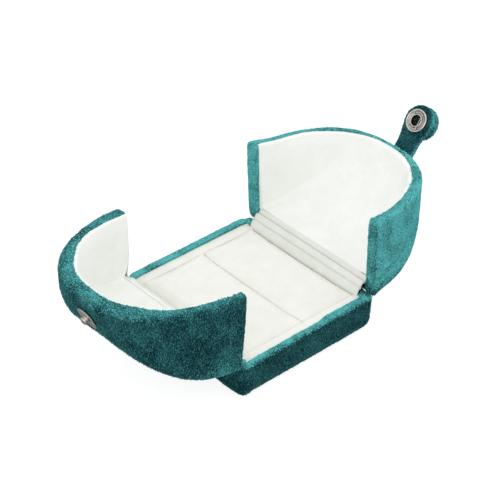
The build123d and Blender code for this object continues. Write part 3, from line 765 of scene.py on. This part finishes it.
def door_sheet(name, hand, material, front, back, starts, slants, bow, gap_start, radii, drop,
               rise, sag, flap, hem, hem_inset, step, nap_and_painted_light_of):
    """One cloth sheet of a door, hand 1 for the right and -1 for the left one. front and back
    give the insets of its full face and of the edge turned in over the rim. For the far and the
    near cheek, starts says how far beyond the hinge axis its end is, slants how much more at
    the bottom, from lower down with a larger bow, rise how far the rim rises there and sag how
    far the bottom hangs down. The hem turned in at the ends is hem_inset deep."""
    pieces = []
    runs = steps(0.25, 1.25, step, section_length(0.0))
    in_gap = on_dome(0.0, 0.0, along_section(0.0, runs), 0.0)[1] < hinge_gap
    for far, start, slant in zip((1, -1), starts, slants):
        angle, level, ends = arch_angles(start, step)
        end_of = np.where(in_gap[None, :], 99.0, ends[:, None])
        turn = angle if far > 0 else math.pi - angle
        way = 1 if back(turn[:1])[0] > front(turn[:1], 0.0)[0] else -1
        thickness = np.abs(back(turn) - front(turn, 0.0))

        def place(i, d, e, where, wall, shift=0.0, tight=False):
            """Points in mm from wall coordinates; where is (angle, level, shares, turn)."""
            ang, lev, shr, trn = where
            dep = on_dome(ang, lev, shr, front(trn, 0.0))[2]
            face_i = front(trn, dep)
            i2, d2, e2 = rounded(i, d, e, wall, *radii)
            x, y, deep = on_dome(ang, lev, shr, face_i + way * i2)
            if tight:
                y = np.maximum(y, np.minimum(hinge_gap, reach_y - face_i - 0.4))
            x = x + np.where(e < 50, e2 - e, 0) + shift
            end = np.minimum(e, 50)
            lift = rise[far < 0] * np.exp(-(end / 7.0) ** 2) * unit(1 - dep / 12)
            droop = sag[far < 0] * np.exp(-(end / 2.5) ** 2) * unit((dep - 20) / 8)
            z = rim_z - drop * unit(1 - dep / 3) + lift - droop - deep - (d2 - d)
            return np.stack(np.broadcast_arrays(x, y, z), -1)

        # the face, from the rim to the middle of the back
        grid_angle, grid_share = np.meshgrid(angle, runs / runs[-1], indexing="ij")
        run = grid_share * section_length(grid_angle)
        shares = along_section(grid_angle, run)
        grid_turn = turn[:, None] + 0 * run
        grid_level = level[:, None] + 0 * run
        depth = on_dome(grid_angle, grid_level, shares, front(grid_turn, 0.0))[2]
        bottom = on_dome(0.0 * runs, start + 0 * runs, along_section(0.0 * runs, runs), 0.0)[2]
        leave = np.where(in_gap, gap_start - start, slant * (bottom / full_depth) ** bow)
        shift = leave[None, :] * unit(1 - ends[:, None] / 5.0)
        face = place(0 * depth, depth, end_of, (grid_angle, grid_level, shares, grid_turn),
                     thickness[:, None], shift)
        # the band over the rim, with fine steps round its two edges
        outer = np.minimum(radii[0], 0.6 * thickness)
        inner = np.minimum(radii[1], 0.35 * thickness)
        rolls = [outer * s for s in (0, .2, .45, .7, 1)]
        rolls += [outer + (thickness - outer - inner) * s for s in (.3, .6, 1)]
        rolls += [thickness - inner * s for s in (.65, .35, .12, 0)]
        band = np.stack(rolls)
        zero = (0.0, 0.0, 0.0)
        row = (angle[None, :] + 0 * band, level[None, :] + 0 * band, zero,
               turn[None, :] + 0 * band)
        rim = place(band, 0 * band, ends[None, :] + 0 * band, row, thickness[None, :])
        # the flap behind the band
        flap_d = runs[runs < flap][:, None] + 0 * angle[None, :]
        row = (angle + 0 * flap_d, level + 0 * flap_d, zero, turn + 0 * flap_d)
        behind = place(thickness + 0 * flap_d, flap_d, ends + 0 * flap_d, row,
                       thickness[None, :])
        behind[..., 2] -= flap_d
        share = (runs / runs[-1])[~in_gap][None, :]

        def turned_round(i, e, number):
            """The cloth at the cheek's end: i into the wall, at numbered steps of the arch."""
            ang = angle[number][:, None] + 0 * share
            down = share * section_length(ang)
            row = (ang, level[number][:, None] + 0 * share, along_section(ang, down),
                   turn[0] + 0 * ang)
            dep = on_dome(*row[:3], front(row[3], 0.0))[2]
            deeper = 1 + (max(hem_inset / thickness[0], 1) - 1) * (1 - np.exp(-dep / 2))
            lean = slant * (dep / full_depth) ** bow * unit(1 - e / 5.0)
            return (place(i * deeper, dep, e + 0 * dep, row, thickness[0] * deeper, lean, True),
                    i * deeper, down)

        # the end of the cheek, and the hem turned in behind it
        stop, stop_i, stop_run = turned_round(band[:, :1], 0.0, np.zeros(len(band), int))
        hem_rows = np.flatnonzero(ends < hem)
        hem_end = ends[hem_rows][:, None]
        turned_in, _, hem_run = turned_round(thickness[0], hem_end, hem_rows)
        inwards = unit(band / thickness / 0.6) ** 1.5
        for points, outward, fold, arch, cross in (
                (face, True, 0.25 * np.exp(-np.minimum(depth, end_of) / 0.6),
                 ends[:, None], run),
                (rim, True, 0.25 + 0.75 * inwards, ends[None, :], -band),
                (behind, True, 1.0, ends[None, :], -thickness - flap_d),
                (stop, False, 1.0, -stop_i, stop_run),
                (turned_in, False, 0.6, -thickness[0] - hem_end, hem_run)):
            points[..., 0] = hand * (hinge_x + points[..., 0])
            points[..., 1] *= far
            fold = np.broadcast_to(fold, points.shape[:2])
            arch = arch if far > 0 else 2 * ends[-1] - arch
            cloth = np.stack(np.broadcast_arrays(arch, cross + 0 * points[..., 0]), -1)
            flip = (hand * far * way > 0) == outward
            pieces.append((points, flip, cloth, fold, nap_and_painted_light_of(points, fold)))
    return cloth_mesh(name, pieces, material, 0.03)


# the doors are covered by hand: how far each rim rises at its far and its near hinge end, and
# the widths of the velvet turned in over it, every 30 degrees from the far end to the near one
rim_rises = {"left": (-0.4, -0.7), "right": (2.0, 1.0)}
rim_widths = {"left": (4.0, 3.1, 4.6, 5.3, 6.2, 4.2, 2.9),
              "right": (4.0, 2.5, 3.0, 1.8, 3.3, 3.5, 3.3)}
for side, hand in hands.items():
    def door_nap_and_painted_light(grid, fold, hand=hand):
        """How light the velvet is painted: dark on the left door, lighter on the right one,
        with painted light and shade.
        """
        if hand < 0:
            # painted sheen: the left door is painted lighter towards its bottom edge and on its
            # rim
            calm = 0.15 + 0.26 * unit((21 - grid[..., 2]) / 6)
            return calm + (0.56 - calm) * fold
        # painted shade: darker towards the bottom, and on the near cheek's end by the hinge
        near_end = ((grid[..., 1] < 0) * (grid[..., 0] < hinge_x + 2.2)
                    * unit(rim_z - 0.6 - grid[..., 2]))
        turned = near_end * unit((grid[..., 1] + 30.4) / 0.4)
        # painted shade: a dark line along the crease beside the near cheek's end
        painted_crease_shade = near_end * np.exp(-((grid[..., 1] + 30.6) / 0.4) ** 2)
        shaded = unit((grid[..., 2] - 15.5) / 4)
        # painted shade: the right door's rim and folds are painted a little darker than its
        # cheeks
        calm = 0.88 - 0.14 * fold
        return calm * (0.45 + 0.55 * shaded) * (1 - 0.35 * turned) * (1 - 0.5 * painted_crease_shade)

    def velvet_face(turn, depth, hand=hand):
        """Inset of the pile's ground: the left door is padded more on its far side."""
        fuller = 0.0 if hand > 0 else 0.4 * np.maximum(np.cos(turn), 0)
        return 0.3 * np.sin(turn) ** 4 * unit((depth - 6) / 10) - 0.25 - fuller

    door = door_sheet(
        f"door_velvet_{side}", hand, teal_velvet, front=velvet_face,
        back=lambda turn, side=side: eased(turn, rim_widths[side]),
        starts=(-0.8, 0.35) if hand > 0 else (0.05, -0.85),
        slants=(1.0, 0.4) if hand > 0 else (1.5, 2.3), bow=1.5, gap_start=1.0, radii=(1.0, 0.6),
        drop=0.0, rise=rim_rises[side], sag=(0, 1.2) if hand > 0 else (0, 0), flap=1.0,
        hem=3.6, hem_inset=4.5, step=0.55, nap_and_painted_light_of=door_nap_and_painted_light)
    ruffle(door, 5.0, 0.14, 0.6, 0.07)
    thicken(door, 0.7)
    grow_pile(door, teal_velvet, (0.3 * hand, 0.0, -0.8), 5 + hand)
    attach(door, f"{side}_door")
    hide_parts(f"door_cover_{side}")

# ---- doors: white linings -------------------------------------------------------------
# A thin moulded insert flocked in white, pushed into each half dome. Its edge is tucked
# under the turned-in velvet, and the crease beside the hinge fades into the round top.
lining_inset = 4.95
for side, hand in hands.items():
    def lining_face(turn, depth, side=side):
        """Inset of the flocked face: it flares out to the velvet's edge at the rim."""
        flare = np.maximum(eased(turn, rim_widths[side]) + 0.8, 3.85) - lining_inset
        return lining_inset + flare * np.exp(-np.maximum(depth - 0.9, 0) / 3.0)

    lining = door_sheet(
        f"door_flock_{side}", hand, white_flock, front=lining_face,
        back=lambda turn, side=side: eased(turn, rim_widths[side]) - 0.7,
        starts=(1.1, 1.1) if hand > 0 else (0.1, -0.3),
        slants=(0.8, 1.0) if hand > 0 else (2.6, 0.6), bow=1.5 if hand > 0 else 5.0,
        gap_start=2.1, radii=(0.8, 0.2), drop=0.08, rise=rim_rises[side], sag=(0, 0), flap=0.5,
        hem=0.6, hem_inset=0, step=0.75, nap_and_painted_light_of=lambda grid, fold: 0.5 + 0 * fold)
    ruffle(lining, 9.0, 0.08, 0.8, 0.015)
    thicken(lining, 0.5)
    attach(lining, f"{side}_door")
    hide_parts(f"door_lining_{side}")

# ---- hinges: white cloth strips --------------------------------------------------------
# One flocked cloth strip per hinge, glued to the base and to the door over the leaves. The
# right one lies in two soft rolls with a groove beside each; the left one is pulled smooth.
roll_paths = {
    "right": [(24.65, 10.8), (24.68, 12.0), (24.78, 12.95), (25.15, 14.05), (25.6, 15.0),
              (25.95, 15.5), (26.15, 15.1), (26.3, 15.15), (26.6, 16.05), (27.1, 16.7),
              (27.6, 17.15), (27.95, 17.3), (28.15, 16.6), (28.3, 16.55), (28.5, 17.35),
              (28.9, 17.95), (29.3, 18.4), (29.6, 18.5), (29.85, 18.1), (30.3, 17.9),
              (31.2, 17.8)],
    "left": [(24.7, 10.8), (24.75, 11.8), (24.9, 12.9), (25.3, 13.9), (25.9, 14.9),
             (26.6, 15.8), (27.3, 16.35), (27.9, 16.65), (28.5, 17.0), (29.1, 17.5),
             (29.7, 18.1), (30.4, 18.6), (31.3, 18.75)]}


def spline(points):
    """A Catmull-Rom spline through the points, four steps to each span."""
    knots = np.array(points)
    dense = [knots[0]]
    for k in range(len(knots) - 1):
        before, here, there, after = (knots[max(k - 1, 0)], knots[k], knots[k + 1],
                                      knots[min(k + 2, len(knots) - 1)])
        for t in (0.25, 0.5, 0.75, 1.0):
            dense.append(0.5 * (2 * here + (there - before) * t
                                + (2 * before - 5 * here + 4 * there - after) * t ** 2
                                + (3 * here - before - 3 * there + after) * t ** 3))
    return np.array(dense)


# painted shade: the strips are the white flock painted greyer, for the shade in their rolls and
# grooves
hinge_cloth = flock("white_hinge_cloth", "#DCDFD8", "#E8EAE3", 0.45, 0.05)
length_y = np.linspace(-hinge_gap + 0.1, hinge_gap - 0.1, 75)
for side, hand in hands.items():
    roll = spline(roll_paths[side])
    shape = (len(roll), len(length_y))
    grid = np.stack([np.broadcast_to(hand * roll[:, :1], shape),
                     np.broadcast_to(length_y[None, :], shape),
                     np.broadcast_to(roll[:, 1:], shape)], -1)
    strip = cloth_mesh(f"hinge_cloth_{side}", [(grid, hand > 0)], hinge_cloth)
    ruffle(strip, 6.0, 0.06, 0.8, 0.015)
    thicken(strip, 0.3)
    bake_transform(strip)
    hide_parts(f"hinge_strip_base_{side}", f"hinge_strip_door_{side}")

# ---- strap ----------------------------------------------------------------------------
# Two layers of velvet glued back to back over a stiff core, fixed to the right door and
# free beyond its rim, with a round head that carries the snap socket.
strap_place, strap_slope = -1.5, math.radians(37.0)
strap_anchor = 15.0
strap_width, strap_thick, strap_reach, strap_head = 8.5, 2.0, 25.4, 5.8
anchor_x = hinge_x + dome_top * (1 - (strap_anchor / reach_x) ** back_side_power) ** (
    1 / back_top_power)
strap_up = np.array([math.sin(strap_slope), 0, math.cos(strap_slope)])
strap_out = np.array([math.cos(strap_slope), 0, -math.sin(strap_slope)])
# the cloth leans a little outwards and to the near side of the fold it is modelled with
strap_lean = np.array([0, -0.4, 0]) + 0.4 * strap_out
anchor = np.array([anchor_x, strap_place, hinge_z + hinge_x - strap_anchor]) + strap_lean


def strap_half(v):
    """Half width of the strap at a distance from its anchor."""
    half = strap_width / 2
    if v > strap_reach:
        return math.sqrt(max(strap_head ** 2 - (v - strap_reach) ** 2, 0))
    return half + (strap_head - half) * smooth((v - 17.5) / (strap_reach - 17.5))


lengths = list(np.arange(-2.9, strap_reach, 0.45))
lengths += [strap_reach + strap_head * math.sin(t)
            for t in np.radians(np.linspace(0, 90, 19))]
turns = np.linspace(0, 2 * math.pi, 65)
c, s = np.cos(turns), np.sin(turns)
rows = []
for v in lengths:
    half = strap_half(v)
    tip = min(1.0, math.sqrt(max(1 - max(0, v - strap_reach) ** 2 / strap_head ** 2, 0)) * 2.2)
    thick = strap_thick / 2 * tip ** 0.5
    u = half * np.sign(c) * np.abs(c) ** 0.28
    h = thick * np.sign(s) * np.abs(s) ** 0.55
    rows.append(anchor + u[:, None] * np.array([0, 1, 0]) + v * strap_up
                + h[:, None] * strap_out)
strap_grid = np.array(rows)
butt = np.stack([strap_grid[0], strap_grid[0].mean(0) + 0 * strap_grid[0]])
run = np.stack(np.broadcast_arrays(np.array(lengths)[:, None], turns[None, :] * 3.5), -1)
side_fold = np.broadcast_to(np.abs(np.cos(turns))[None, :] ** 6, run.shape[:2])
# painted sheen: the strap's velvet is painted lighter along its two side edges
strap_cloth = cloth_mesh("strap_velvet", [
    (strap_grid, True, run, side_fold, 0.11 + 0.5 * side_fold),
    (butt, False, (0, 0), 0.0, 0.3)], teal_velvet, 0.02)
finer = strap_cloth.modifiers.new("finer", "SUBSURF")
finer.levels = finer.render_levels = 1
apply_modifiers(strap_cloth)
ruffle(strap_cloth, 3.0, 0.10, 0.5, 0.09)
grow_pile(strap_cloth, teal_velvet, (-0.3, 0.1, -0.7), 8)
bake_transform(strap_cloth)
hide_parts("strap_root", "strap")

# ---- snap: cap, socket and stud ---------------------------------------------------------
# A press stud in bright nickel: the socket with its two spring wires sits on the strap's
# head under a velvet-covered cap, and the stud with its ball is riveted to the left door.


def turned(name, profile, origin, axis, material, count=72, slot_name="nickel"):
    """A turned piece: (radius, height) points spun round an axis, closed at its poles. A third
    value at a point says how much painted recess shade it gets."""
    axis = Vector(axis).normalized()
    side = axis.cross(Vector((0, 1, 0))).normalized()
    other = axis.cross(side)
    frame_axes = np.array([side, other, axis])
    around = np.linspace(0, 2 * math.pi, count + 1)
    rows = [np.stack([r * np.cos(around), r * np.sin(around), h + 0 * around], 1) @ frame_axes
            + np.array(origin) for r, h, *_ in profile]
    painted_recess_shade = np.array([p[2] if len(p) > 2 else 0.0 for p in profile])[:, None]
    piece = cloth_mesh(name, [(np.array(rows), False, (0, 0), painted_recess_shade, 0.4)], material, 0.005)
    form = bmesh.new()
    form.from_mesh(piece.data)
    bmesh.ops.recalc_face_normals(form, faces=form.faces)
    form.to_mesh(piece.data)
    form.free()
    return piece


head = anchor + strap_reach * strap_up
inner_face = head - strap_out * strap_thick / 2
outer_face = head + strap_out * strap_thick / 2
cap_profile = ([(0, -0.05), (5.0, -0.05), (5.05, 0.25), (5.45, 0.45), (5.7, 0.75)]
               + [(4.85 + 0.95 * math.cos(t), 2.05 + 0.95 * math.sin(t))
                  for t in np.radians(np.linspace(-20, 80, 9))]
               + [(r, 2.95 + 0.3 * (1 - (r / 4.8) ** 2)) for r in np.arange(4.5, 0.1, -0.4)]
               + [(0, 3.25)])
cap = turned("snap_cap_velvet", cap_profile, outer_face, strap_out, teal_velvet, 90,
             "teal_velvet")
ruffle(cap, 3.0, 0.08, 0.5, 0.07)
grow_pile(cap, teal_velvet, (-0.2, 0.2, -0.7), 9)
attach(cap, "strap")
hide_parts("snap_cap")

# the third values are painted shade: full in the socket's hole, less in the ring's hollows
socket_profile = ([(0, 0.08, 1), (1.8, 0.08, 1), (1.9, 0.2, 1), (1.92, 0.8, 0.9)]
                  + arc((2.17, 1.02), 0.24, 180, 20, 6)
                  + [(2.45, 0.9, 0.5), (2.6, 0.72, 0.7), (2.9, 0.7, 0.25), (3.25, 0.78, 0.3),
                     (3.42, 0.92, 0.55)]
                  + arc((3.8, 0.9), 0.34, 135, -10, 7)
                  + [(4.12, 0.5, 0.3), (4.02, 0.2, 0.6), (3.85, 0.0, 0.8), (0, 0.0, 1)])
socket = turned("snap_socket_nickel", socket_profile, inner_face, -strap_out, bright_nickel, 96)
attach(socket, "strap")
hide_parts("snap_socket")

stud_seat = np.array([-64.88, strap_place, 35.68])
stud_axis = np.array([-0.9170, 0, -0.3990])
stud_profile = ([(0, -2.0), (1.0, -2.0), (1.0, -0.3), (3.8, -0.2), (4.05, 0.1)]
                + arc((4.0, 0.32), 0.2, -40, 110, 6)
                + [(3.6, 0.46), (2.8, 0.4), (1.9, 0.44), (1.4, 0.58), (1.15, 0.8), (1.12, 1.0)]
                + [(1.5 * math.cos(t), 1.55 + 0.75 * math.sin(t))
                   for t in np.radians(np.linspace(-42, 75, 12))]
                + [(0.3, 2.3), (0, 2.24)])
stud = turned("snap_stud_nickel", stud_profile, stud_seat + 0.3 * stud_axis, stud_axis,
              bright_nickel, 80)
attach(stud, "left_door")
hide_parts("snap_stud")
